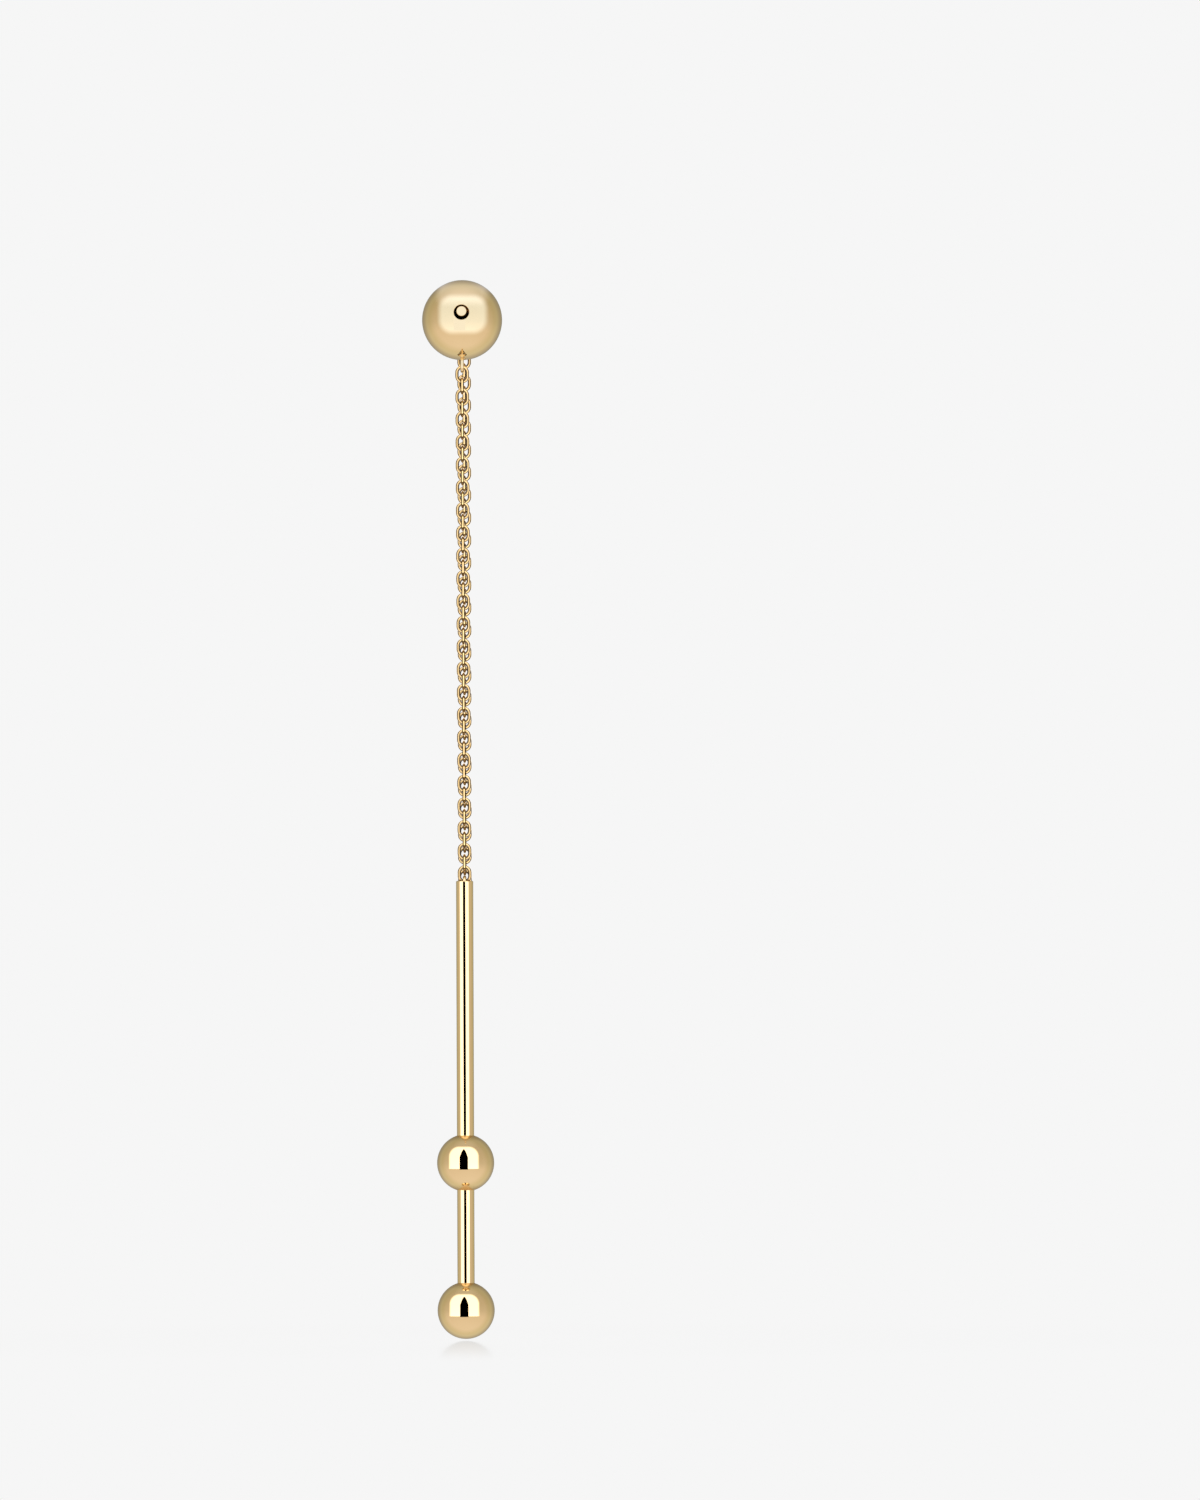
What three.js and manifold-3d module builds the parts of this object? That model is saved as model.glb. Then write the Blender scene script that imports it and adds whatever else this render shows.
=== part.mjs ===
// A long dangle earring in polished yellow gold, worn through a pierced lobe.
// Units are millimetres, Z is up and the wearer's front is towards -Y.
// The origin is the middle of the ear lobe, on the axis of the post.
// A hollow ball sits in front of the lobe on the post, and the post's pad and eye are behind it.
// One cable chain hangs from the ball and one from the eye. Both end on the bail of a thin tube,
// which carries two smaller balls and swings from side to side on the chains' last rings.

import * as THREE from 'three';
import { mergeVertices } from 'three/addons/utils/BufferGeometryUtils.js';
import Module from 'manifold-3d';

const DEGREE = Math.PI / 180;
const MERGE_DISTANCE = 1e-5;

// Ear post: it rises towards the front, and ends behind its pad in an eye of wire
const POST_TILT = 11 * DEGREE;
const POST_DIAMETER = 0.9;
const POST_TIP_ROUND = 0.25;
const POST_TIP_RECESS = 0.12;
const PAD_DIAMETER = 3.0;
const PAD_THICKNESS = 0.5;
const EYE_GAP = 0.1;
const EYE_FREE_SPACE = 0.1;

// Ear lobe: the space left for it between the ball and the pad
const LOBE_GAP = 5.0;

// Front ball: a hollow shell, bored through for the post, on which it hangs
const FRONT_BALL_DIAMETER = 7.0;
const FRONT_BALL_WALL = 0.3;
const BORE_CLEARANCE = 0.22;
const BORE_REST_GAP = 0.1;
const LOOP_REACH = 1.06;
const LOOP_ROOT = 0.12;

// Chain: oval links of round wire, fused where each one rests on the next
const WIRE_DIAMETER = 0.3;
const LINK_WIDTH = 1.22;
const LINK_PITCH = 0.996;
const LINK_BITE = 0.03;
const FRONT_LINK_COUNT = 45;
const HANG_GAP = 0.05;

// Hanging place: how far behind the ball's loop the front chain ends
const HANG_BACK = 3.07;

// Bail: an oval loop of wire in the mouth of the tube, through its rear wall
const BAIL_RISE = 0.3;
const BAIL_SLACK = 0.1;
const BAIL_SLOPE = 15.5 * DEGREE;
const BAIL_INSET = 0.02;
const CHAIN_GAP = 0.08;

// Tube and its two balls: one thin shell, open at the mouth
const TUBE_DIAMETER = 1.5;
const TUBE_WALL = 0.15;
const TUBE_RIM_ROUND = 0.1;
const TUBE_ABOVE_BALLS = 22.2;
const TUBE_BETWEEN_BALLS = 7.92;
const DROP_BALL_DIAMETER = 5.0;
const DROP_BALL_WALL = 0.25;
const SOLDER_FILLET = 0.2;

// Facets: how finely the round shapes are cut
const LINK_SIDES = 10;
const LOOP_SIDES = 14;
const CHAIN_WIRE_SIDES = 5;
const LOOP_WIRE_SIDES = 6;
const FRONT_BALL_SIDES = 24;
const POST_SIDES = 14;
const TUBE_SIDES = 20;
const OUTER_ARC_STEPS = 14;
const INNER_ARC_STEPS = 8;
const SMALL_ARC_STEPS = 3;

const wasm = await Module();
wasm.setup();

const polishedGold = new THREE.MeshStandardMaterial({ color: 0xdec391, roughness: 0.08, metalness: 1 });
const chainGold = new THREE.MeshStandardMaterial({ color: 0xd8b983, roughness: 0.15, metalness: 1 });

// A profile turned round the Y axis as a closed surface: equal corners are merged while they are
// still exactly equal, and triangles that close to a line at the axis are left out
function turned(profile, sides) {
  const lathed = new THREE.LatheGeometry(profile, sides);
  lathed.deleteAttribute('normal');
  lathed.deleteAttribute('uv');
  const merged = mergeVertices(lathed, MERGE_DISTANCE);
  const corners = merged.index.array;
  const kept = [];
  for (let i = 0; i < corners.length; i += 3) {
    const [a, b, c] = [corners[i], corners[i + 1], corners[i + 2]];
    if (a !== b && b !== c && c !== a) {
      kept.push(a, b, c);
    }
  }
  merged.setIndex(kept);
  return merged;
}

// A closed surface as a solid
function solidOf(surface) {
  return new wasm.Manifold(new wasm.Mesh({
    numProp: 3,
    vertProperties: Float32Array.from(surface.attributes.position.array),
    triVerts: Uint32Array.from(surface.index.array),
  }));
}

// A solid as a named mesh
function meshOf(name, solid, material) {
  const { vertProperties, triVerts } = solid.getMesh();
  const geometry = new THREE.BufferGeometry();
  geometry.setAttribute('position', new THREE.BufferAttribute(vertProperties, 3));
  geometry.setIndex(new THREE.BufferAttribute(triVerts, 1));
  geometry.computeVertexNormals();
  const mesh = new THREE.Mesh(geometry, material);
  mesh.name = name;
  return mesh;
}

// Points of an arc in a lathe's plane: angles count from the axis, and the middle may lie off it
function arc(radius, fromAngle, toAngle, steps, middleHeight = 0, middleOut = 0) {
  const points = [];
  for (let i = 0; i <= steps; i += 1) {
    const angle = fromAngle + ((toAngle - fromAngle) * i) / steps;
    const out = Math.max(middleOut + radius * Math.sin(angle), 0);
    points.push(new THREE.Vector2(out, middleHeight + radius * Math.cos(angle)));
  }
  return points;
}

// An oval ring of wire in the XZ plane: a round ring whose halves are drawn apart along Z.
// Its flat sides keep the width, and the wire has a corner inside, where another ring rests on it.
function wireRing(width, length, sides, wireSides) {
  const wireRadius = WIRE_DIAMETER / 2;
  const sideAngle = (2 * Math.PI * Math.floor(sides / 4)) / sides;
  const ringRadius = (width / 2 - wireRadius) / Math.sin(sideAngle);
  const drawnApart = length / 2 - wireRadius - ringRadius;
  const section = [];
  for (let i = 0; i <= wireSides; i += 1) {
    const angle = Math.PI + (2 * Math.PI * i) / wireSides;
    const out = ringRadius + wireRadius * Math.cos(angle);
    section.push(new THREE.Vector2(out, wireRadius * Math.sin(angle)));
  }
  const geometry = turned(section, sides);
  const places = geometry.attributes.position;
  for (let i = 0; i < places.count; i += 1) {
    const z = places.getZ(i);
    places.setZ(i, z + Math.sign(z) * drawnApart);
  }
  return geometry;
}

// The same ring in the YZ plane
function sideRing(width, length, sides, wireSides) {
  return wireRing(width, length, sides, wireSides).rotateZ(Math.PI / 2);
}

// Link sizes that follow from the pitch and the wire
const linkInnerLength = LINK_PITCH - LINK_BITE;
const linkLength = linkInnerLength + 2 * WIRE_DIAMETER;

// From the middle of the wire that holds a chain's end ring to the middle of that ring
const endRingOffset = linkInnerLength / 2 - WIRE_DIAMETER / 2 - HANG_GAP;

// Length of a hanging chain, from the wire that holds it to the wire that it holds
function chainLength(linkCount) {
  return (linkCount - 1) * LINK_PITCH + 2 * endRingOffset;
}

// A point of the ear part, whose own Y runs back along the post, in the frame of the earring
function earPoint(along, down) {
  return new THREE.Vector3(0, along, -down).applyAxisAngle(new THREE.Vector3(1, 0, 0), -POST_TILT);
}

// Places along the post, from the middle of the lobe
const frontBallRadius = FRONT_BALL_DIAMETER / 2;
const boreRadius = POST_DIAMETER / 2 + BORE_CLEARANCE;
const ballAlong = -(LOBE_GAP / 2 + frontBallRadius);
const ballDrop = BORE_CLEARANCE - BORE_REST_GAP;
const boreMouthAlong = ballAlong - Math.sqrt(frontBallRadius ** 2 - boreRadius ** 2);
const padFrontAlong = LOBE_GAP / 2;
const padBackAlong = padFrontAlong + PAD_THICKNESS;
const eyeAlong = padBackAlong + EYE_GAP + LINK_WIDTH / 2;

// The bail from the middle of the tube's rim: its bends leave room for a ring's wire
const bailBend = WIRE_DIAMETER + HANG_GAP + BAIL_SLACK;
const bailSpan = LINK_WIDTH + CHAIN_GAP;
const bailAlong = new THREE.Vector3(0, Math.cos(BAIL_SLOPE), -Math.sin(BAIL_SLOPE));
const bailDown = new THREE.Vector3(0, -Math.sin(BAIL_SLOPE), -Math.cos(BAIL_SLOPE));
const bailFrontReach = TUBE_DIAMETER / 2 - BAIL_INSET - WIRE_DIAMETER / 2;
const bailFrontY = bailBend * (1 - bailDown.y) - bailFrontReach;

// A chain's end ring lies in the bend of a loop or an eye, and pulls away from the bend's middle
const loopBend = (LINK_WIDTH - WIRE_DIAMETER) / 2;

// The front chain settles the height of the tube, from the ball's loop to the top of the bail
const frontLoopBend = earPoint(ballAlong, ballDrop + frontBallRadius + LOOP_REACH - loopBend);
const frontFall = Math.sqrt((loopBend + chainLength(FRONT_LINK_COUNT)) ** 2 - HANG_BACK ** 2);
const frontBottom = frontLoopBend.clone().add(new THREE.Vector3(0, HANG_BACK, -frontFall));
const rimMiddle = new THREE.Vector3(0, frontBottom.y - bailFrontY, frontBottom.z - BAIL_RISE);

// The rear chain has as many links as fit under the post's end with a face-on ring at each end,
// and the eye hangs down to meet it. Its least drop leaves room under the post for the ring's wire
// and half the eye's own.
const rearBottom = frontBottom.clone().addScaledVector(bailAlong, bailSpan);
const eyeTop = earPoint(eyeAlong, 0);
const eyeLeastDrop = POST_DIAMETER / 2 + EYE_FREE_SPACE + 1.5 * WIRE_DIAMETER;
const rearBack = eyeTop.y - rearBottom.y;
const rearLongest = Math.hypot(rearBack, eyeTop.z - eyeLeastDrop + loopBend - rearBottom.z);
const rearPitches = Math.floor((rearLongest - loopBend - 2 * endRingOffset) / LINK_PITCH);
const rearLinkCount = 1 + 2 * Math.floor(rearPitches / 2);
const rearFall = Math.sqrt((loopBend + chainLength(rearLinkCount)) ** 2 - rearBack ** 2);
const eyeBend = new THREE.Vector3(0, eyeTop.y, rearBottom.z + rearFall);
const eyeDrop = eyeTop.z - eyeBend.z + loopBend;

// Front ball: a bored shell, turned on the post's axis, with the chain's loop soldered under it
function makeFrontBall() {
  const inner = frontBallRadius - FRONT_BALL_WALL;
  const outerMouth = Math.asin(boreRadius / frontBallRadius);
  const innerMouth = Math.asin(boreRadius / inner);
  const profile = [
    ...arc(frontBallRadius, Math.PI - outerMouth, outerMouth, OUTER_ARC_STEPS),
    ...arc(inner, innerMouth, Math.PI - innerMouth, INNER_ARC_STEPS),
  ];
  profile.push(profile[0].clone());
  const shell = turned(profile, FRONT_BALL_SIDES);
  const loopSpan = LOOP_REACH + LOOP_ROOT;
  const loop = sideRing(LINK_WIDTH, loopSpan + WIRE_DIAMETER, LOOP_SIDES, LOOP_WIRE_SIDES);
  loop.translate(0, 0, loopSpan / 2 - LOOP_REACH - frontBallRadius);
  const mesh = meshOf('front_ball', solidOf(shell).add(solidOf(loop)), polishedGold);
  mesh.position.copy(earPoint(ballAlong, ballDrop));
  mesh.rotation.x = -POST_TILT;
  return mesh;
}

// Ear post: a round-tipped post and its pad turned as one, with the eye that holds the rear chain
function makeEarPost() {
  const radius = POST_DIAMETER / 2;
  const tip = boreMouthAlong + POST_TIP_RECESS;
  const tipRoundMiddle = radius - POST_TIP_ROUND;
  const profile = [
    new THREE.Vector2(0, tip),
    ...arc(POST_TIP_ROUND, Math.PI, Math.PI / 2, SMALL_ARC_STEPS, tip + POST_TIP_ROUND, tipRoundMiddle),
    new THREE.Vector2(radius, padFrontAlong),
    new THREE.Vector2(PAD_DIAMETER / 2, padFrontAlong),
    new THREE.Vector2(PAD_DIAMETER / 2, padBackAlong),
    new THREE.Vector2(radius, padBackAlong),
    new THREE.Vector2(radius, eyeAlong),
    new THREE.Vector2(0, eyeAlong),
  ];
  const post = turned(profile, POST_SIDES);
  const eye = sideRing(LINK_WIDTH, eyeDrop + WIRE_DIAMETER, LOOP_SIDES, LOOP_WIRE_SIDES);
  eye.translate(0, 0, -eyeDrop / 2).rotateX(POST_TILT).translate(0, eyeAlong, 0);
  const mesh = meshOf('ear_post', solidOf(post).add(solidOf(eye)), polishedGold);
  mesh.rotation.x = -POST_TILT;
  return mesh;
}

// Chain: links turned a quarter from one to the next and fused into one body, which hangs down
// its own Z axis from the bend that holds it
function makeChain(name, upperBend, bottom, linkCount) {
  const faceOnLink = wireRing(LINK_WIDTH, linkLength, LINK_SIDES, CHAIN_WIRE_SIDES);
  const edgeOnLink = sideRing(LINK_WIDTH, linkLength, LINK_SIDES, CHAIN_WIRE_SIDES);
  let chain = null;
  for (let i = 0; i < linkCount; i += 1) {
    const link = (i % 2 === 0 ? faceOnLink : edgeOnLink).clone();
    link.translate(0, 0, -(loopBend + endRingOffset + i * LINK_PITCH));
    chain = chain ? chain.add(solidOf(link)) : solidOf(link);
  }
  const mesh = meshOf(name, chain, chainGold);
  mesh.position.copy(upperBend);
  mesh.rotation.x = Math.atan2(bottom.y - upperBend.y, upperBend.z - bottom.z);
  return mesh;
}

// Tube with its two balls as one turned shell, open at the mouth, with the bail soldered in
function makeBallBar() {
  const tubeRadius = TUBE_DIAMETER / 2;
  const tubeBore = tubeRadius - TUBE_WALL;
  const ballRadius = DROP_BALL_DIAMETER / 2;
  const ballInner = ballRadius - DROP_BALL_WALL;
  const upperBall = -(TUBE_ABOVE_BALLS + ballRadius);
  const lowerBall = upperBall - ballRadius - TUBE_BETWEEN_BALLS - ballRadius;

  // Where the tube, its bore and the solder meet a ball, as angles from the tube's axis
  const tubeMeets = Math.asin(tubeRadius / ballRadius);
  const boreMeets = Math.asin(tubeBore / ballInner);
  const solderMeets = Math.asin((tubeRadius + SOLDER_FILLET) / (ballRadius + SOLDER_FILLET));
  const solderHeight = (ballRadius + SOLDER_FILLET) * Math.cos(solderMeets);
  const solderOut = tubeRadius + SOLDER_FILLET;

  // The outside from the tube's side down over the solder and round the ball
  function solderedBall(middle, endAngle) {
    return [
      ...arc(SOLDER_FILLET, 1.5 * Math.PI, Math.PI + solderMeets, SMALL_ARC_STEPS,
        middle + solderHeight, solderOut),
      ...arc(ballRadius, solderMeets, endAngle, OUTER_ARC_STEPS, middle).slice(1),
    ];
  }

  const rimMiddleOut = tubeRadius - TUBE_RIM_ROUND;
  const profile = [
    new THREE.Vector2(tubeBore, 0),
    ...arc(TUBE_RIM_ROUND, 0, Math.PI / 2, SMALL_ARC_STEPS, -TUBE_RIM_ROUND, rimMiddleOut),
    ...solderedBall(upperBall, Math.PI - tubeMeets),
    ...solderedBall(lowerBall, Math.PI),
    ...arc(ballInner, Math.PI, boreMeets, INNER_ARC_STEPS, lowerBall),
    ...arc(ballInner, Math.PI - boreMeets, boreMeets, INNER_ARC_STEPS, upperBall),
    new THREE.Vector2(tubeBore, 0),
  ];
  const shell = turned(profile.reverse(), TUBE_SIDES).rotateX(Math.PI / 2);

  const bailWidth = 2 * bailBend + WIRE_DIAMETER;
  const bail = sideRing(bailWidth, bailSpan + bailWidth, LOOP_SIDES, LOOP_WIRE_SIDES);
  const bailMiddle = new THREE.Vector3(0, bailFrontY, BAIL_RISE)
    .addScaledVector(bailDown, bailBend)
    .addScaledVector(bailAlong, bailSpan / 2);
  bail.rotateX(Math.PI / 2 - BAIL_SLOPE).translate(0, bailMiddle.y, bailMiddle.z);
  const mesh = meshOf('ball_bar', solidOf(shell).add(solidOf(bail)), polishedGold);
  mesh.position.copy(rimMiddle);
  return mesh;
}

const earring = new THREE.Group();
earring.add(makeFrontBall());
earring.add(makeEarPost());
earring.add(makeChain('front_chain', frontLoopBend, frontBottom, FRONT_LINK_COUNT));
earring.add(makeChain('rear_chain', eyeBend, rearBottom, rearLinkCount));
earring.add(makeBallBar());

export default earring;
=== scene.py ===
# %% [markdown]
# # A long dangle earring in polished yellow gold
# A hollow ball sits in front of the ear lobe on a post. One fine chain hangs from the ball and one
# from the eye behind the lobe, and both end on the bail of a thin tube with two smaller balls.
# Sizes are in millimetres here and become metres when a mesh is made. Z is up, and the viewer
# looks along +Y.

import math

import bpy
from mathutils import Matrix, Vector


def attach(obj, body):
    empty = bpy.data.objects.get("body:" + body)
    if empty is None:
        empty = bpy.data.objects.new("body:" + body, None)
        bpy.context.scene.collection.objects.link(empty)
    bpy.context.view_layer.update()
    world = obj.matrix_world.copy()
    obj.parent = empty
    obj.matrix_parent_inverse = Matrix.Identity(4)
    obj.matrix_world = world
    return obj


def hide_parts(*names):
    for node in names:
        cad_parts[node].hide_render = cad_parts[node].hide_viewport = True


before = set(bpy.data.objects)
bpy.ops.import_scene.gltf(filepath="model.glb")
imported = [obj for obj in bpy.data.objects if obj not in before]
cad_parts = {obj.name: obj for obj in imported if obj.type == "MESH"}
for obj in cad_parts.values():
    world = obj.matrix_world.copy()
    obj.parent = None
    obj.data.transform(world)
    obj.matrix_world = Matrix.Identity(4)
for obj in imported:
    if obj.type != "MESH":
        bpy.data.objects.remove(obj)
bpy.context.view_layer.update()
MM = 0.001

# %% [markdown]
# ## The viewpoint
# The photograph was taken level, from far off and from a little to the earring's right. So the camera
# stands 2.3 m away, about a degree to the right and about half-way up the earring. Standing back keeps
# the balls round and the chain's rings nearly the same size from top to bottom. It is rolled a fifth
# of a degree, because the earring hangs that much out of upright in the picture.

# %% Camera
IMAGE_WIDTH, IMAGE_HEIGHT = 1200, 1500
PIXELS_PER_MM = 11.43
CAMERA_DISTANCE = 2300.0
FRONT_BALL_PIXEL = (462.1, 320.1)
FRONT_BALL_PLACE = Vector((0.0, -5.9127, 1.0271))
CAMERA_ROLL = math.radians(0.21)
CAMERA_AZIMUTH = math.radians(0.7)
SENSOR = 36.0

camera_data = bpy.data.cameras.new("camera")
camera = bpy.data.objects.new("camera", camera_data)
bpy.context.collection.objects.link(camera)
camera_data.sensor_width = SENSOR
camera_data.lens = SENSOR * CAMERA_DISTANCE / (IMAGE_HEIGHT / PIXELS_PER_MM)
camera_data.clip_start, camera_data.clip_end = 0.01, 20.0
ball_in_view = Vector(((FRONT_BALL_PIXEL[0] - IMAGE_WIDTH / 2) / PIXELS_PER_MM, CAMERA_DISTANCE,
                       (IMAGE_HEIGHT / 2 - FRONT_BALL_PIXEL[1]) / PIXELS_PER_MM))
camera_turn = Matrix.Rotation(CAMERA_AZIMUTH, 3, "Z") @ Matrix.Rotation(CAMERA_ROLL, 3, "Y")
camera.location = (FRONT_BALL_PLACE - camera_turn @ ball_in_view) * MM
camera.rotation_euler = (camera_turn @ Matrix.Rotation(math.pi / 2, 3, "X")).to_euler()
bpy.context.scene.camera = camera
print("lens", round(camera_data.lens, 1), "mm, camera at", [round(v, 4) for v in camera.location])

# %% [markdown]
# ## Tools for materials
# Colours are given as sRGB hex values, but a shader adds light in linear values, so one
# function turns one into the other. One more adds a node with its settings and its links, so that a
# material reads as a list of nodes.

# %% Colour and node helpers
def linear(hex_colour):
    """An sRGB hex colour as linear red, green, blue and alpha."""
    parts = [int(hex_colour[i:i + 2], 16) / 255 for i in (1, 3, 5)]
    return [p / 12.92 if p <= 0.04045 else ((p + 0.055) / 1.055) ** 2.4 for p in parts] + [1.0]


def add_node(tree, kind, settings=None, inputs=None, links=None):
    """A node with its settings, its input values, and links from other nodes' outputs."""
    node = tree.nodes.new(kind)
    for name, value in (settings or {}).items():
        setattr(node, name, value)
    for socket, value in (inputs or {}).items():
        node.inputs[socket].default_value = value
    for socket, output in (links or {}).items():
        tree.links.new(output, node.inputs[socket])
    return node


print("the grey #808080 is", round(linear("#808080")[0], 3), "in linear values")

# %% [markdown]
# ## Polished yellow gold
# The metal is a pale 14 carat alloy of gold, silver and copper, polished on a felt wheel. It is a
# mirror: nearly all that the eye sees is the studio, tinted champagne. What tells it from chrome is
# the tint, and what tells it from a drawing is the polish, which is never quite even: a faint haze
# 2 mm wide and wheel lines some 0.05 mm apart. The lines are too fine to show, so they are drawn 0.2 mm
# apart and very shallow.
#
# The chain is drawn wire, tumbled in a drum instead of wheeled, so it is a little softer and deeper.
# Inside the links the colour is darkened as a painted shade and the polish is duller, and round the
# solder of the balls the colour is a little deeper, also a painted shade, and duller. An attribute of
# the mesh says where that is.

# %% Gold materials
HAZE_SIZE = 2.0
WHEEL_LINE_SPACING = 0.2
DULL_ROUGHNESS = 0.35


def make_gold(name, pale, deep, dark, roughness_low, roughness_high, bump_strength):
    """A polished gold: its colour and polish vary softly, and wheel lines bend its reflections.

    dark is the colour of the painted shade, mixed in where the mesh's attribute says; the polish is duller
    there too.
    """
    material = bpy.data.materials.new(name)
    material.use_nodes = True
    tree = material.node_tree
    shader = tree.nodes["Principled BSDF"]
    shader.inputs["Metallic"].default_value = 1.0
    place = add_node(tree, "ShaderNodeTexCoord")
    haze = add_node(tree, "ShaderNodeTexNoise",
                    inputs={"Scale": 1 / (HAZE_SIZE * MM), "Detail": 3.0, "Roughness": 0.55},
                    links={"Vector": place.outputs["Object"]})
    tint = add_node(tree, "ShaderNodeMix", {"data_type": "RGBA"},
                    {"A": linear(pale), "B": linear(deep)}, {"Factor": haze.outputs["Fac"]})
    polish = add_node(tree, "ShaderNodeMapRange",
                      inputs={"From Min": 0.3, "From Max": 0.7, "To Min": roughness_low,
                              "To Max": roughness_high},
                      links={"Value": haze.outputs["Fac"]})
    stretch = add_node(tree, "ShaderNodeMapping", inputs={"Scale": (1.0, 1.0, 0.15)},
                       links={"Vector": place.outputs["Object"]})
    lines = add_node(tree, "ShaderNodeTexNoise",
                     inputs={"Scale": 1 / (WHEEL_LINE_SPACING * MM), "Detail": 2.0},
                     links={"Vector": stretch.outputs["Vector"]})
    bump = add_node(tree, "ShaderNodeBump", inputs={"Strength": bump_strength, "Distance": 0.002 * MM},
                    links={"Height": lines.outputs["Fac"]})
    # painted shade: this attribute darkens the colour inside the links and round the solder, and dulls the
    # polish there
    corner = add_node(tree, "ShaderNodeAttribute", {"attribute_name": "painted_shade_and_dullness"})
    tint_and_painted_shade = add_node(tree, "ShaderNodeMix", {"data_type": "RGBA"}, {"B": linear(dark)},
                     {"Factor": corner.outputs["Fac"], "A": tint.outputs["Result"]})
    dulled = add_node(tree, "ShaderNodeMix", {"data_type": "FLOAT"}, {"B": DULL_ROUGHNESS},
                      {"Factor": corner.outputs["Fac"], "A": polish.outputs["Result"]})
    tree.links.new(tint_and_painted_shade.outputs["Result"], shader.inputs["Base Color"])
    tree.links.new(dulled.outputs["Result"], shader.inputs["Roughness"])
    tree.links.new(bump.outputs["Normal"], shader.inputs["Normal"])
    return material


# C9A468 is a painted shade, for the inner sides of the wire loops and round the solder
polished_gold = make_gold("polished_14_carat_gold", "#F5DCB0", "#F1D6A8", "#C9A468", 0.02, 0.045, 0.02)
# 3E240C is a painted shade, for the inner sides of the chain's links
chain_gold = make_gold("tumbled_gold_wire", "#F3D297", "#E6BF7F", "#3E240C", 0.04, 0.08, 0.05)
print("materials:", polished_gold.name, chain_gold.name)

# %% [markdown]
# ## Turned pieces
# The balls, the tube and the post are round about an axis, and a goldsmith makes them so: the balls are
# pressed as two cups, the tube is drawn. Screwing a profile round its axis gives all of them, and
# it is written out here so that each corner at the axis is one point and every face looks outwards.

# %% Lathe helpers
def arc(radius, start, end, steps, height=0.0, out=0.0):
    """Points (distance out, height) of an arc whose angles in degrees count from the axis."""
    turns = [math.radians(start + (end - start) * i / steps) for i in range(steps + 1)]
    return [(out + radius * math.sin(a), height + radius * math.cos(a)) for a in turns]


def turn_profile(profile, sides):
    """Vertices and faces of a profile turned round Z. A closed profile ends where it starts."""
    closed = profile[0] == profile[-1]
    points = profile[:-1] if closed else profile
    vertices, rows = [], []
    for out, height in points:
        if out < 1e-6:
            rows.append([len(vertices)] * sides)
            vertices.append(Vector((0, 0, height)))
            continue
        rows.append(range(len(vertices), len(vertices) + sides))
        for i in range(sides):
            angle = 2 * math.pi * i / sides
            vertices.append(Vector((out * math.cos(angle), out * math.sin(angle), height)))
    faces = []
    pairs = list(zip(rows, rows[1:])) + ([(rows[-1], rows[0])] if closed else [])
    for upper, lower in pairs:
        for i in range(sides):
            j = (i + 1) % sides
            corners = [upper[i], lower[i], lower[j], upper[j]]
            face = [c for n, c in enumerate(corners) if c not in corners[:n]]
            if len(face) > 2:
                faces.append(face)
    return vertices, faces


def oval_ring(width, length, wire, steps=16, sides=14):
    """Vertices and faces of an oval ring of round wire in the XZ plane: half circles and straights.

    A third list gives each vertex's painted shade and dullness: 1 on the ring's inner side.
    """
    bend = (width - wire) / 2
    straight = (length - width) / 2
    path = []
    for half in (1, -1):
        for i in range(steps + 1):
            angle = math.pi * i / steps + (0 if half > 0 else math.pi)
            outward = Vector((math.cos(angle), 0, math.sin(angle)))
            path.append((outward * bend + Vector((0, 0, half * straight)), outward))
    vertices, faces, painted_shade_and_dullness = [], [], []
    for n, (middle, outward) in enumerate(path):
        following = (n + 1) % len(path)
        for i in range(sides):
            angle = 2 * math.pi * i / sides
            across = outward * math.cos(angle) + Vector((0, math.sin(angle), 0))
            vertices.append(middle + across * wire / 2)
            # painted shade on the ring's inner side, which is also duller
            painted_shade_and_dullness.append(min(1.0, max(0.0, 0.3 - 1.2 * math.cos(angle))))
            j = (i + 1) % sides
            faces.append([n * sides + i, n * sides + j, following * sides + j, following * sides + i])
    return vertices, faces, painted_shade_and_dullness


disc_vertices, disc_faces = turn_profile([(0.0, 0.0), (1.0, 0.0)], 8)
print("a disc of 8 sides has", len(disc_vertices), "vertices and", len(disc_faces), "faces")

# %% [markdown]
# ## From parts to a piece
# A piece is one mesh, even where it is made of several parts. Its faces are smooth, except across an
# edge sharper than 35 degrees. It rides on a body and stands for one node of the frame.

# %% Piece helper
CREASE = math.radians(35)


def finish_piece(name, parts, material, body, node):
    """One smooth mesh of several parts, which stands for a CAD node.

    A part is its vertices, its faces, how much painted shade and dullness each vertex has, and its
    placement.
    """
    vertices, faces, painted_shade_and_dullness = [], [], []
    for part_vertices, part_faces, part_painted_shade_and_dullness, placement in parts:
        start = len(vertices)
        painted_shade_and_dullness += part_painted_shade_and_dullness or [0.0] * len(part_vertices)
        vertices += [placement @ v * MM for v in part_vertices]
        faces += [[start + c for c in face] for face in part_faces]
    mesh = bpy.data.meshes.new(name)
    mesh.from_pydata(vertices, [], faces)
    mesh.shade_smooth()
    mesh.set_sharp_from_angle(angle=CREASE)
    # the attribute carries the painted shade and the duller polish
    mesh.attributes.new("painted_shade_and_dullness", "FLOAT", "POINT").data.foreach_set("value", painted_shade_and_dullness)
    mesh.materials.append(material)
    piece = bpy.data.objects.new(name, mesh)
    bpy.context.collection.objects.link(piece)
    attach(piece, body)
    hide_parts(node)
    print(name, "has", len(faces), "faces")
    return piece


# %% [markdown]
# ## The front ball
# A hollow 7 mm ball with a hole right through, in which the post lies. The hole's rim is broken with a
# fine round so that it catches a line of light. A small loop of wire is soldered under it. The post
# leans 11 degrees, as it does in a lobe, and the ball leans with it.

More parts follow.
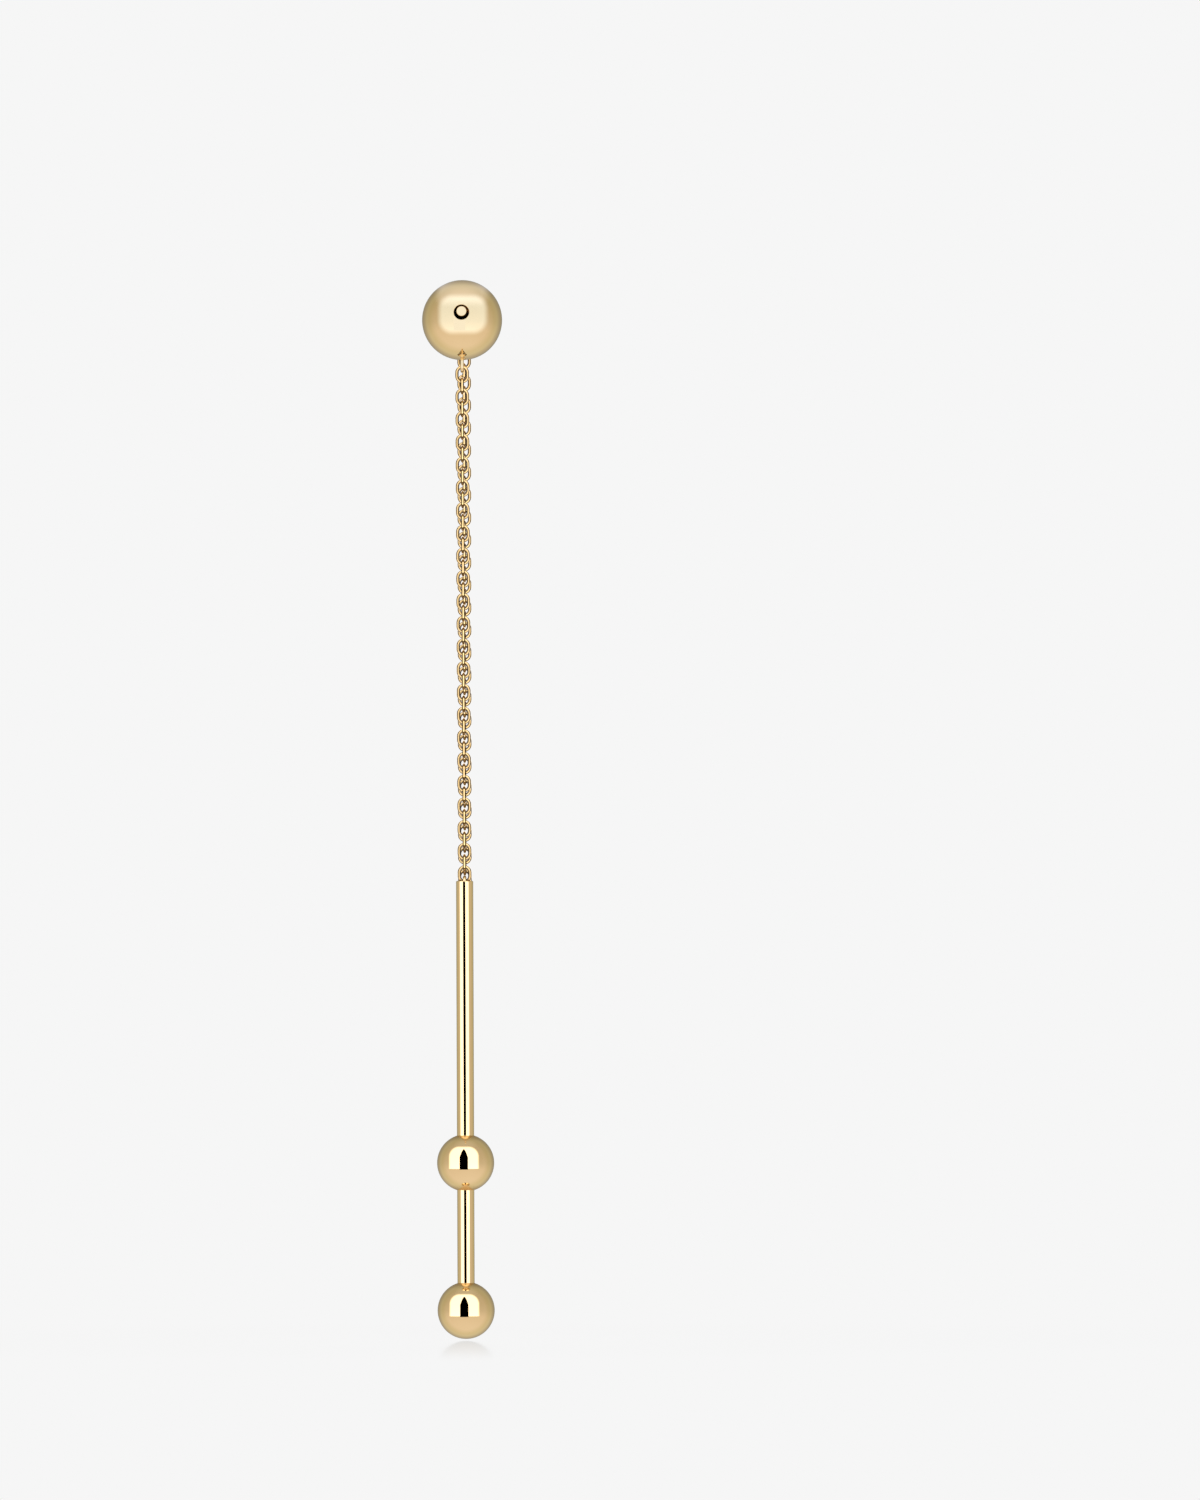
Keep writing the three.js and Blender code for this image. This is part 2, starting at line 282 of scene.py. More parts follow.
# %% Front ball
POST_TILT = math.radians(-11)
WIRE = 0.3
RING_WIDTH = 1.22
BALL_RADIUS, BALL_WALL, BORE_RADIUS = 3.5, 0.3, 0.67
BORE_EDGE = 0.05
LOOP_REACH, LOOP_ROOT = 1.06, 0.12

tilt = Matrix.Rotation(POST_TILT, 4, "X")
ball_inside = BALL_RADIUS - BALL_WALL
outer_mouth = math.degrees(math.asin((BORE_RADIUS + BORE_EDGE) / BALL_RADIUS))
inner_mouth = math.degrees(math.asin(BORE_RADIUS / ball_inside))
mouth_height = BALL_RADIUS * math.cos(math.radians(outer_mouth)) - BORE_EDGE
upper_edge = arc(BORE_EDGE, 70, -90, 6, mouth_height, BORE_RADIUS + BORE_EDGE)
lower_edge = [(out, -height) for out, height in reversed(upper_edge)]
ball_profile = (arc(BALL_RADIUS, outer_mouth, 180 - outer_mouth, 96) + lower_edge
                + arc(ball_inside, 180 - inner_mouth, inner_mouth, 40) + upper_edge[::-1])
ball_profile.append(ball_profile[0])
ball_shell = turn_profile(ball_profile, 128)
loop_length = LOOP_REACH + LOOP_ROOT + WIRE
ball_loop = oval_ring(RING_WIDTH, loop_length, WIRE)
loop_middle = loop_length / 2 - WIRE / 2 - LOOP_REACH - BALL_RADIUS
ball_place = Matrix.Translation(FRONT_BALL_PLACE) @ tilt
loop_place = Matrix.Translation((0, 0, loop_middle)) @ Matrix.Rotation(math.pi / 2, 4, "Z")
front_ball = finish_piece(
    "front_ball_shell",
    [(*ball_shell, None, ball_place @ Matrix.Rotation(math.pi / 2, 4, "X")),
     (*ball_loop, ball_place @ loop_place)],
    polished_gold, "hanger", "front_ball")

# %% [markdown]
# ## The ear post
# A straight 0.9 mm post with a rounded tip, a round pad behind the lobe, and an eye of wire from which
# the rear chain hangs. The pad's edges are rounded, as an edge against the skin must be.

# %% Ear post
POST_RADIUS, TIP_ROUND, TIP_AT = 0.45, 0.08, -9.3153
PAD_RADIUS, PAD_FRONT, PAD_BACK, PAD_ROUND = 1.5, 2.5, 3.0, 0.12
EYE_AT, EYE_DROP = 3.71, 1.3876

post_profile = (
    [(0.0, EYE_AT), (POST_RADIUS - 0.06, EYE_AT)]
    + arc(0.06, 0, 90, 4, EYE_AT - 0.06, POST_RADIUS - 0.06)
    + arc(0.08, 270, 180, 4, PAD_BACK + 0.08, POST_RADIUS + 0.08)
    + arc(PAD_ROUND, 0, 90, 6, PAD_BACK - PAD_ROUND, PAD_RADIUS - PAD_ROUND)
    + arc(PAD_ROUND, 90, 180, 6, PAD_FRONT + PAD_ROUND, PAD_RADIUS - PAD_ROUND)
    + [(POST_RADIUS, PAD_FRONT)]
    + arc(TIP_ROUND, 90, 180, 8, TIP_AT + TIP_ROUND, POST_RADIUS - TIP_ROUND)
    + [(0.0, TIP_AT)])
post_turned = turn_profile(post_profile, 64)
eye = oval_ring(RING_WIDTH, EYE_DROP + WIRE, WIRE)
eye_place = (tilt @ Matrix.Translation((0, EYE_AT, 0)) @ Matrix.Rotation(-POST_TILT, 4, "X")
             @ Matrix.Translation((0, 0, -EYE_DROP / 2)) @ Matrix.Rotation(math.pi / 2, 4, "Z"))
ear_post = finish_piece(
    "ear_post_and_pad",
    [(*post_turned, None, tilt @ Matrix.Rotation(-math.pi / 2, 4, "X")), (*eye, eye_place)],
    polished_gold, "hanger", "ear_post")

# %% [markdown]
# ## The ball bar
# A drawn tube 1.5 mm thick, open at the top, passes into a 5 mm ball, goes on below it and ends in a
# second one. Solder has run into a small hollow curve where the tube enters each ball. Towards it the
# ball's colour is darkened as a painted shade and its polish is duller. An oval bail of wire is
# soldered into the tube's mouth and out through its rear wall.

# %% Ball bar
TUBE_RADIUS, TUBE_WALL, RIM_ROUND = 0.75, 0.15, 0.1
DROP_RADIUS, DROP_WALL = 2.5, 0.25
UPPER_BALL, LOWER_BALL = -24.7, -37.62
SOLDER, SOLDER_SHADE_REACH = 0.06, 1.0
RIM_MIDDLE = Vector((0.0, -3.6152, -48.0424))
BAIL_SLOPE = math.radians(15.5)
BAIL_BEND, BAIL_SPAN, BAIL_FRONT, BAIL_RISE = 0.45, 1.30, -0.0097, 0.3


def ball_below_tube(middle, last_angle):
    """The profile over the solder's hollow curve and down round a ball, to an angle in degrees."""
    meets = math.degrees(math.asin((TUBE_RADIUS + SOLDER) / (DROP_RADIUS + SOLDER)))
    height = middle + (DROP_RADIUS + SOLDER) * math.cos(math.radians(meets))
    hollow = arc(SOLDER, 270, 180 + meets, 8, height, TUBE_RADIUS + SOLDER)
    return hollow + arc(DROP_RADIUS, meets, last_angle, 64, middle)[1:]


tube_bore = TUBE_RADIUS - TUBE_WALL
drop_inside = DROP_RADIUS - DROP_WALL
leaves = math.degrees(math.asin(TUBE_RADIUS / DROP_RADIUS))
joint_depth = DROP_RADIUS * math.cos(math.radians(leaves))
bore_meets = math.degrees(math.asin(tube_bore / drop_inside))
lower_round = ball_below_tube(LOWER_BALL, 180)
bar_profile = (
    [(tube_bore, -0.05)] + arc(0.05, 270, 360, 4, -0.05, tube_bore + 0.05)
    + arc(RIM_ROUND, 0, 90, 8, -RIM_ROUND, TUBE_RADIUS - RIM_ROUND)[1:]
    + ball_below_tube(UPPER_BALL, 180 - leaves)
    + lower_round[:-1] + [(0.0, LOWER_BALL - DROP_RADIUS)])
bar_inside = ([(0.0, LOWER_BALL - drop_inside)]
              + arc(drop_inside, 180, bore_meets, 24, LOWER_BALL)[1:]
              + arc(drop_inside, 180 - bore_meets, bore_meets, 24, UPPER_BALL)
              + [(tube_bore, -0.05)])
bar_outer = turn_profile(bar_profile, 96)
joints = (UPPER_BALL + joint_depth, UPPER_BALL - joint_depth, LOWER_BALL + joint_depth)
# painted shade: the colour darkens towards each solder joint, and the polish dulls
solder_painted_shade_and_dullness = []
for v in bar_outer[0]:
    out = math.hypot(v.x, v.y) - TUBE_RADIUS
    away = min(math.hypot(out, v.z - height) for height in joints)
    solder_painted_shade_and_dullness.append(max(0.0, 1 - away / SOLDER_SHADE_REACH) if out > 0.01 else 0.0)
bar_inner = turn_profile(bar_inside, 96)
bail_width = 2 * BAIL_BEND + WIRE
bail = oval_ring(bail_width, BAIL_SPAN + bail_width, WIRE, 20, 16)
bail_down = Vector((0, -math.sin(BAIL_SLOPE), -math.cos(BAIL_SLOPE)))
bail_along = Vector((0, math.cos(BAIL_SLOPE), -math.sin(BAIL_SLOPE)))
bail_middle = Vector((0, BAIL_FRONT, BAIL_RISE)) + bail_down * BAIL_BEND + bail_along * BAIL_SPAN / 2
bar_place = Matrix.Translation(RIM_MIDDLE)
bail_place = (bar_place @ Matrix.Translation(bail_middle)
              @ Matrix.Rotation(math.pi / 2 - BAIL_SLOPE, 4, "X") @ Matrix.Rotation(math.pi / 2, 4, "Z"))
ball_bar = finish_piece(
    "tube_with_two_balls",
    [(*bar_outer, solder_painted_shade_and_dullness, bar_place), (*bar_inner, None, bar_place), (*bail, bail_place)],
    polished_gold, "drop", "ball_bar")

# %% [markdown]
# ## The chains
# A cable chain repeats one oval link, turned a quarter each time, so a Geometry Nodes tree makes it:
# a line of points, the link on each point, and a quarter turn on every second one. The same tree
# makes both chains, because its sizes, place and slope are inputs. First come the inputs and a small
# function for the tree's sums.

# %% Chain inputs
LINK_PITCH, LINK_BITE = 0.996, 0.03
link_length = LINK_PITCH - LINK_BITE + 2 * WIRE
first_link = (RING_WIDTH - WIRE) / 2 + (LINK_PITCH - LINK_BITE) / 2 - WIRE / 2 - 0.05

chain_tree = bpy.data.node_groups.new("cable_chain", "GeometryNodeTree")
for socket_name, socket_type in [
        ("Links", "NodeSocketInt"), ("Pitch", "NodeSocketFloat"), ("First link", "NodeSocketFloat"),
        ("Link width", "NodeSocketFloat"), ("Link length", "NodeSocketFloat"), ("Wire", "NodeSocketFloat"),
        ("Top", "NodeSocketVector"), ("Slope", "NodeSocketVector")]:
    chain_tree.interface.new_socket(socket_name, in_out="INPUT", socket_type=socket_type)
chain_tree.interface.new_socket("Chain", in_out="OUTPUT", socket_type="NodeSocketGeometry")
given = add_node(chain_tree, "NodeGroupInput").outputs


def maths(operation, a, b):
    """A Math node in the chain's tree. Each of a and b is a number or another node's output."""
    node = add_node(chain_tree, "ShaderNodeMath", {"operation": operation})
    for socket, value in zip(node.inputs, (a, b)):
        if isinstance(value, (int, float)):
            socket.default_value = value
        else:
            chain_tree.links.new(value, socket)
    return node.outputs[0]


print("a link is", round(link_length, 3), "mm long and", RING_WIDTH, "mm wide")

# %% [markdown]
# ## One link
# A box with its corners rounded fully off is an oval, and a circle swept along it is the wire. The tree
# also marks the inner side of the link, where the metal's normal looks back at the link's middle, for a
# painted shade there and a duller polish.

# %% Link
path_width = maths("SUBTRACT", given["Link width"], given["Wire"])
path_length = maths("SUBTRACT", given["Link length"], given["Wire"])
box_path = add_node(chain_tree, "GeometryNodeCurvePrimitiveQuadrilateral",
                    links={"Width": path_width, "Height": path_length})
oval_path = add_node(chain_tree, "GeometryNodeFilletCurve", {"mode": "POLY"}, {"Count": 6},
                     {"Curve": box_path.outputs[0], "Radius": maths("MULTIPLY", path_width, 0.499)})
section = add_node(chain_tree, "GeometryNodeCurvePrimitiveCircle", inputs={"Resolution": 10},
                   links={"Radius": maths("MULTIPLY", given["Wire"], 0.5)})
link = add_node(chain_tree, "GeometryNodeCurveToMesh",
                links={"Curve": oval_path.outputs[0], "Profile Curve": section.outputs[0]})
centre_line = add_node(chain_tree, "ShaderNodeSeparateXYZ",
                       links={"Vector": add_node(chain_tree, "GeometryNodeInputPosition").outputs[0]})
off_centre = maths("MULTIPLY", maths("SUBTRACT", path_length, path_width), 0.5)
nearest = add_node(chain_tree, "ShaderNodeClamp", links={
    "Value": centre_line.outputs["Y"], "Min": maths("MULTIPLY", off_centre, -1), "Max": off_centre})
from_centre = add_node(chain_tree, "ShaderNodeCombineXYZ", links={
    "X": centre_line.outputs["X"], "Y": maths("SUBTRACT", centre_line.outputs["Y"], nearest.outputs[0]),
    "Z": centre_line.outputs["Z"]})
outwards = add_node(chain_tree, "ShaderNodeVectorMath", {"operation": "NORMALIZE"},
                    links={0: from_centre.outputs[0]})
facing = add_node(chain_tree, "ShaderNodeVectorMath", {"operation": "DOT_PRODUCT"},
                  links={0: outwards.outputs[0],
                         1: add_node(chain_tree, "GeometryNodeInputNormal").outputs[0]})
# painted shade on the link's inner side, which is also duller
inner_side_shade_and_dullness = add_node(chain_tree, "ShaderNodeMapRange",
                      inputs={"From Min": 0.45, "From Max": -0.2, "To Min": 0.0, "To Max": 1.0},
                      links={"Value": facing.outputs["Value"]})
marked = add_node(chain_tree, "GeometryNodeStoreNamedAttribute",
                  {"data_type": "FLOAT", "domain": "POINT"}, {"Name": "painted_shade_and_dullness"},
                  {"Geometry": link.outputs[0], "Value": inner_side_shade_and_dullness.outputs["Result"]})
upright = add_node(chain_tree, "GeometryNodeTransform", inputs={"Rotation": (math.pi / 2, 0, 0)},
                   links={"Geometry": marked.outputs[0]})
print("the link takes", len(chain_tree.nodes), "nodes")

# %% [markdown]
# ## Links on a line
# The link goes on each point of a line. Every second one is turned a quarter, and the whole line is
# hung from its top and sloped. The links become real faces at the end and get their gold.

# %% Chain
step_down = add_node(chain_tree, "ShaderNodeCombineXYZ", links={"Z": maths("MULTIPLY", given["Pitch"], -1)})
start_down = add_node(chain_tree, "ShaderNodeCombineXYZ",
                      links={"Z": maths("MULTIPLY", given["First link"], -1)})
line = add_node(chain_tree, "GeometryNodeMeshLine",
                links={"Count": given["Links"], "Start Location": start_down.outputs[0],
                       "Offset": step_down.outputs[0]})
index = add_node(chain_tree, "GeometryNodeInputIndex")
quarter = maths("MULTIPLY", maths("MODULO", index.outputs[0], 2), math.pi / 2)
turn = add_node(chain_tree, "ShaderNodeCombineXYZ", links={"Z": quarter})
links_on_line = add_node(chain_tree, "GeometryNodeInstanceOnPoints",
                         links={"Points": line.outputs[0], "Instance": upright.outputs[0],
                                "Rotation": turn.outputs[0]})
hung = add_node(chain_tree, "GeometryNodeTransform",
                links={"Geometry": links_on_line.outputs[0], "Translation": given["Top"],
                       "Rotation": given["Slope"]})
realized = add_node(chain_tree, "GeometryNodeRealizeInstances", links={"Geometry": hung.outputs[0]})
painted = add_node(chain_tree, "GeometryNodeSetMaterial", inputs={"Material": chain_gold},
                   links={"Geometry": realized.outputs[0]})
add_node(chain_tree, "NodeGroupOutput", links={"Chain": painted.outputs[0]})
print("the chain takes", len(chain_tree.nodes), "nodes")

# %% [markdown]
# ## Both chains
# Each chain is the tree with its own numbers, baked to a plain mesh. The two slope towards each other
# and meet on the bail.


# %% Both chains
def hang_chain(name, node, link_count, top, slope):
    """A chain hung from a place and sloped about X, baked to one plain mesh."""
    carrier = bpy.data.objects.new(name, bpy.data.meshes.new(name + "_start"))
    bpy.context.collection.objects.link(carrier)
    modifier = carrier.modifiers.new("chain", "NODES")
    modifier.node_group = chain_tree
    values = {
        "Links": link_count, "Pitch": LINK_PITCH * MM, "First link": first_link * MM,
        "Link width": RING_WIDTH * MM, "Link length": link_length * MM, "Wire": WIRE * MM,
        "Top": [v * MM for v in top], "Slope": (math.radians(slope), 0.0, 0.0)}
    for item in chain_tree.interface.items_tree:
        if item.in_out == "INPUT":
            modifier[item.identifier] = values[item.name]
    evaluated = carrier.evaluated_get(bpy.context.evaluated_depsgraph_get())
    mesh = bpy.data.meshes.new_from_object(evaluated)
    carrier.modifiers.remove(modifier)
    carrier.data = mesh
    mesh.name = name
    mesh.shade_smooth()
    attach(carrier, "hanger")
    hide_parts(node)
    print(name, "has", link_count, "links and", len(mesh.polygons), "faces")
    return carrier


front_chain = hang_chain("front_cable_chain", "front_chain", 45, (0, -6.6950, -2.9976), 3.925)
rear_chain = hang_chain("rear_cable_chain", "rear_chain", 47, (0, 3.6418, -1.6355), -7.377)

# %% [markdown]
# ## The table and the room
# The floor is a sheet of glowing white acrylic that rises into the room's walls without an edge, so
# there is no horizon. It is turned on the lathe too. At a flat angle it mirrors the end ball, but only
# for a few centimetres. Each point glows less by the light it mirrors towards the front, so the sheet
# looks even from there.

# %% Floor and room
FLOOR_HEIGHT = -88.25
ROOM_RADIUS, FLOOR_RADIUS, INNER_FLOOR = 2340.0, 2240.0, 400.0
GLOSS, GLOSS_REACH, FLOOR_ROUGHNESS = 0.2, 0.085, 0.06
MIRRORED_LIGHT = 1.39
BACKGROUND = "#F6F6F6"

cove = ROOM_RADIUS - FLOOR_RADIUS
room_profile = [(0.0, FLOOR_HEIGHT), (INNER_FLOOR, FLOOR_HEIGHT), (FLOOR_RADIUS, FLOOR_HEIGHT)]
room_profile += arc(cove, 180, 90, 24, FLOOR_HEIGHT + cove, FLOOR_RADIUS)[1:]
room_profile += arc(ROOM_RADIUS, 90, 0, 32, FLOOR_HEIGHT + cove)[1:-1]
room_profile += [(0.0, FLOOR_HEIGHT + cove + ROOM_RADIUS)]
room_vertices, room_faces = turn_profile(room_profile, 96)
room_mesh = bpy.data.meshes.new("floor_and_room")
room_mesh.from_pydata([v * MM for v in room_vertices], [], room_faces)
room_mesh.shade_smooth()
room = bpy.data.objects.new("floor_and_room", room_mesh)
bpy.context.collection.objects.link(room)

acrylic = bpy.data.materials.new("glowing_white_acrylic")
acrylic.use_nodes = True
acrylic.node_tree.nodes.clear()
floor_place = add_node(acrylic.node_tree, "ShaderNodeTexCoord")
distance = add_node(acrylic.node_tree, "ShaderNodeVectorMath", {"operation": "DISTANCE"},
                    {1: (0.0, -3.6 * MM, FLOOR_HEIGHT * MM)}, {0: floor_place.outputs["Object"]})
reach = add_node(acrylic.node_tree, "ShaderNodeMapRange", {"interpolation_type": "SMOOTHSTEP"},
                 {"From Min": 0.0, "From Max": GLOSS_REACH, "To Min": GLOSS, "To Max": 0.0},
                 {"Value": distance.outputs["Value"]})
flatness = add_node(acrylic.node_tree, "ShaderNodeFresnel", inputs={"IOR": 1.49})
share = add_node(acrylic.node_tree, "ShaderNodeMath", {"operation": "MULTIPLY"},
                 links={0: reach.outputs["Result"], 1: flatness.outputs[0]})
evened = add_node(acrylic.node_tree, "ShaderNodeMath", {"operation": "MULTIPLY_ADD"},
                  {1: 1 - MIRRORED_LIGHT / linear(BACKGROUND)[0], 2: 1.0}, {0: share.outputs[0]})
glow = add_node(acrylic.node_tree, "ShaderNodeEmission", inputs={"Color": linear(BACKGROUND)},
                links={"Strength": evened.outputs[0]})
gloss = add_node(acrylic.node_tree, "ShaderNodeBsdfGlossy", inputs={"Roughness": FLOOR_ROUGHNESS})
floor_mix = add_node(acrylic.node_tree, "ShaderNodeMixShader",
                     links={0: share.outputs[0], 1: glow.outputs[0], 2: gloss.outputs[0]})
add_node(acrylic.node_tree, "ShaderNodeOutputMaterial", links={"Surface": floor_mix.outputs[0]})
room_mesh.materials.append(acrylic)
room.visible_glossy = False
room.visible_diffuse = False
room.visible_shadow = False
print("the room is", round(2 * ROOM_RADIUS * MM, 2), "m wide and has", len(room_faces), "faces")

# %% [markdown]
# ## What the gold mirrors
# A mirror shows its surroundings, so the surroundings are built as a photographer builds them. The
# sky gives the tan of the balls: lighter below, where the table is, and darker behind, which draws the
# thin brown rims. The chains were lit harder, so only a small share of the sky is for every piece.

# %% Sky
FOR_ALL = 0.15


def direction_ramp(tree, value, stops):
    """A colour ramp over a direction's value from -1 to 1. Each stop is (value, colour)."""
    place = add_node(tree, "ShaderNodeMapRange", inputs={"From Min": -1.0, "From Max": 1.0},
                     links={"Value": value})
    ramp = add_node(tree, "ShaderNodeValToRGB", links={"Fac": place.outputs["Result"]})
    elements = ramp.color_ramp.elements
    while len(elements) < len(stops):
        elements.new(0.5)
    for element, (at, colour) in zip(elements, stops):
        element.position = (at + 1) / 2
        element.color = (*colour, 1.0)
    return ramp.outputs["Color"]


def studio_colour(tree, vector):
    """The sky's colour in the direction of a vector: up and down times front to back."""
    unit = add_node(tree, "ShaderNodeVectorMath", {"operation": "NORMALIZE"}, links={0: vector})
    parts = add_node(tree, "ShaderNodeSeparateXYZ", links={"Vector": unit.outputs[0]})
    up_and_down = direction_ramp(tree, parts.outputs["Z"], [
        (-1.0, (0.90, 0.83, 0.76)), (-0.4, (0.83, 0.75, 0.66)), (-0.05, (0.68, 0.62, 0.52)),
        (0.35, (0.62, 0.56, 0.45)), (0.8, (0.58, 0.53, 0.44)), (1.0, (0.64, 0.60, 0.52))])
    front_to_back = direction_ramp(tree, parts.outputs["Y"], [
        (-1.0, (1.0, 1.0, 1.0)), (-0.1, (0.98, 0.98, 0.98)), (0.3, (0.84, 0.87, 0.77)),
        (0.55, (0.80, 0.86, 0.78)), (0.8, (0.60, 0.63, 0.61)), (1.0, (0.45, 0.48, 0.47))])
    both = add_node(tree, "ShaderNodeMix", {"data_type": "RGBA", "blend_type": "MULTIPLY"},
                    {"Factor": 1.0}, {"A": up_and_down, "B": front_to_back})
    return both.outputs["Result"]


world = bpy.data.worlds.new("studio")
bpy.context.scene.world = world
world.use_nodes = True
world.node_tree.nodes.clear()
sky_direction = add_node(world.node_tree, "ShaderNodeTexCoord")
sky = add_node(world.node_tree, "ShaderNodeBackground", inputs={"Strength": FOR_ALL},
               links={"Color": studio_colour(world.node_tree, sky_direction.outputs["Generated"])})
add_node(world.node_tree, "ShaderNodeOutputWorld", links={"Surface": sky.outputs[0]})
print("share of the sky for all the pieces:", FOR_ALL)

# %% [markdown]
# ## Lights for chosen pieces
# The rest of the sky is a see-through dome that glows for all but the chains. The same kind of surface
# makes the softboxes below: it adds its glow to what is behind it, and light linking says which pieces
# receive that glow.


# %% Dome
DOME_RADIUS = 2200.0


def light_surface(name, vertices, faces, receivers, colour_of, brightness):
    """A see-through surface that glows for some pieces only. colour_of makes its colour's nodes."""
    material = bpy.data.materials.new(name)
    material.use_nodes = True
    tree = material.node_tree
    tree.nodes.clear()
    colour, strength = colour_of(tree)
    shine = add_node(tree, "ShaderNodeEmission", inputs={"Strength": brightness}, links={"Color": colour})
    if strength is not None:
        scaled = add_node(tree, "ShaderNodeMath", {"operation": "MULTIPLY"}, {1: brightness}, {0: strength})
        tree.links.new(scaled.outputs[0], shine.inputs["Strength"])
    clear = add_node(tree, "ShaderNodeBsdfTransparent")
    both = add_node(tree, "ShaderNodeAddShader", links={0: shine.outputs[0], 1: clear.outputs[0]})
    add_node(tree, "ShaderNodeOutputMaterial", links={"Surface": both.outputs[0]})
    mesh = bpy.data.meshes.new(name)
    mesh.from_pydata([Vector(v) * MM for v in vertices], [], faces)
    mesh.materials.append(material)
    surface = bpy.data.objects.new(name, mesh)
    bpy.context.collection.objects.link(surface)
    surface.visible_camera = surface.visible_shadow = surface.visible_diffuse = False
    lit = bpy.data.collections.new("lit_by_" + name)
    for piece in receivers:
        lit.objects.link(piece)
    surface.light_linking.receiver_collection = lit
    return surface


def dome_colour(tree):
    """The sky's colour on the dome. The dome's middle is the origin, so a place is a direction."""
    return studio_colour(tree, add_node(tree, "ShaderNodeTexCoord").outputs["Object"]), None


dome = light_surface("dome", *turn_profile(arc(DOME_RADIUS, 0, 180, 24), 48),
                     [front_ball, ear_post, ball_bar], dome_colour, 1 - FOR_ALL)
print(dome.name, "measures", [round(v, 2) for v in dome.dimensions], "m")

# %% [markdown]
# ## Softboxes
# A softbox is drawn here as a mirror ball at its subject shows it: its edges are given in ball radii
# from the ball's middle, and each point of that picture is sent out along its reflection. So
# the windows on the balls come out as in the photograph, with round corners and a soft fall of light
# at the cloth's edge.


# %% Softbox helpers
SOFTBOX_DISTANCE = 1000.0
SOFTBOX_STEPS = 28


def mirrored(x, z):
    """The direction that a mirror ball shows at (x, z), in radii, to a viewer who looks along +Y."""
    depth = math.sqrt(max(0.0, 1 - x * x - z * z))
    return Vector((2 * depth * x, 1 - 2 * depth * depth, 2 * depth * z))


def softbox(name, receivers, middle, window, low_cut, corner, softness, colour, brightness, turn=0):
    """A softbox at 1 m round a middle, for some pieces.

    window is (left, right, low, high) in ball radii, cut off straight at low_cut. turn is the azimuth
    in degrees of the side on which it stands: 0 is the viewer's.
    """
    left, right, low, high = window
    round_it = Matrix.Rotation(math.radians(turn), 3, "Z")
    edges = (left - softness / 2, right + softness / 2, max(low - softness / 2, low_cut),
             high + softness / 2)
    rows = SOFTBOX_STEPS + 1
    pictured = [(edges[0] + (edges[1] - edges[0]) * i / SOFTBOX_STEPS,
                 edges[2] + (edges[3] - edges[2]) * j / SOFTBOX_STEPS)
                for j in range(rows) for i in range(rows)]
    vertices = [middle + round_it @ mirrored(x, z) * SOFTBOX_DISTANCE for x, z in pictured]
    faces = [(j * rows + i, j * rows + i + 1, (j + 1) * rows + i + 1, (j + 1) * rows + i)
             for j in range(SOFTBOX_STEPS) for i in range(SOFTBOX_STEPS)]

    def cloth(tree):
        """One colour, and a strength that is 1 inside the rounded window and falls at its edge."""
        place = add_node(tree, "ShaderNodeAttribute", {"attribute_name": "pictured"})
        centred = add_node(tree, "ShaderNodeVectorMath", {"operation": "SUBTRACT"},
                           {1: ((left + right) / 2, (low + high) / 2, 0)}, {0: place.outputs["Vector"]})
        mirrored_once = add_node(tree, "ShaderNodeVectorMath", {"operation": "ABSOLUTE"},
                                 links={0: centred.outputs[0]})
        beyond = add_node(tree, "ShaderNodeVectorMath", {"operation": "SUBTRACT"},
                          {1: ((right - left) / 2 - corner, (high - low) / 2 - corner, 0)},
                          {0: mirrored_once.outputs[0]})
        outside = add_node(tree, "ShaderNodeVectorMath", {"operation": "MAXIMUM"}, {1: (0, 0, 0)},
                           {0: beyond.outputs[0]})
        reach_out = add_node(tree, "ShaderNodeVectorMath", {"operation": "LENGTH"},
                             links={0: outside.outputs[0]})
        fall = add_node(tree, "ShaderNodeMapRange", {"interpolation_type": "SMOOTHSTEP"},
                        {"From Min": corner - softness / 2, "From Max": corner + softness / 2,
                         "To Min": 1.0, "To Max": 0.0}, {"Value": reach_out.outputs["Value"]})
        paint = add_node(tree, "ShaderNodeRGB")
        paint.outputs[0].default_value = (*colour, 1.0)
        return paint.outputs[0], fall.outputs["Result"]

    box = light_surface(name, vertices, faces, receivers, cloth, brightness)
    pictured_at = box.data.attributes.new("pictured", "FLOAT_VECTOR", "POINT")
    for point, (x, z) in zip(pictured_at.data, pictured):
        point.vector = (x, z, 0.0)
    print(name, "measures", [round(v, 2) for v in box.dimensions], "m")
    return box


print("the middle of a mirror ball shows the way", [round(v, 2) for v in mirrored(0, 0)])

# %% [markdown]
# ## The softboxes in place
# The front ball and the chains were lit apart from the tube and the lower balls, so each has a softbox
# of its own. The front ball has a dim one above as well, and the chains have a small one behind. A long
# area light stands low at the far side of the floor, which mirrors it round the end ball's reflection.

# %% Softboxes
LOWER_BALLS = Vector((0.0, -3.6, -80.0))
CHAINS = Vector((0.0, -2.5, -26.0))
TABLE_LIGHT_WIDTH, TABLE_LIGHT_HEIGHT, TABLE_LIGHT_BEHIND = 2.8, 0.7, 2.2
TABLE_LIGHT_GLOW = 1.6
FRONT_PIECES, CHAIN_PIECES = [front_ball, ear_post], [front_chain, rear_chain]
softbox("tube_softbox", [ball_bar], LOWER_BALLS, (-0.56, 0.45, -0.6, 0.56), low_cut=-0.2,
        corner=0.34, softness=0.09, colour=(1.0, 1.0, 1.0), brightness=1.42)
softbox("ball_softbox", FRONT_PIECES, FRONT_BALL_PLACE, (-0.56, 0.61, -0.32, 0.6), low_cut=-1,
        corner=0.33, softness=0.18, colour=(0.47, 0.68, 1.0), brightness=0.8)
softbox("ball_ceiling", FRONT_PIECES, FRONT_BALL_PLACE, (-0.6, 0.6, 0.42, 0.92), low_cut=-1,
        corner=0.15, softness=0.26, colour=(0.55, 0.62, 0.9), brightness=0.44)
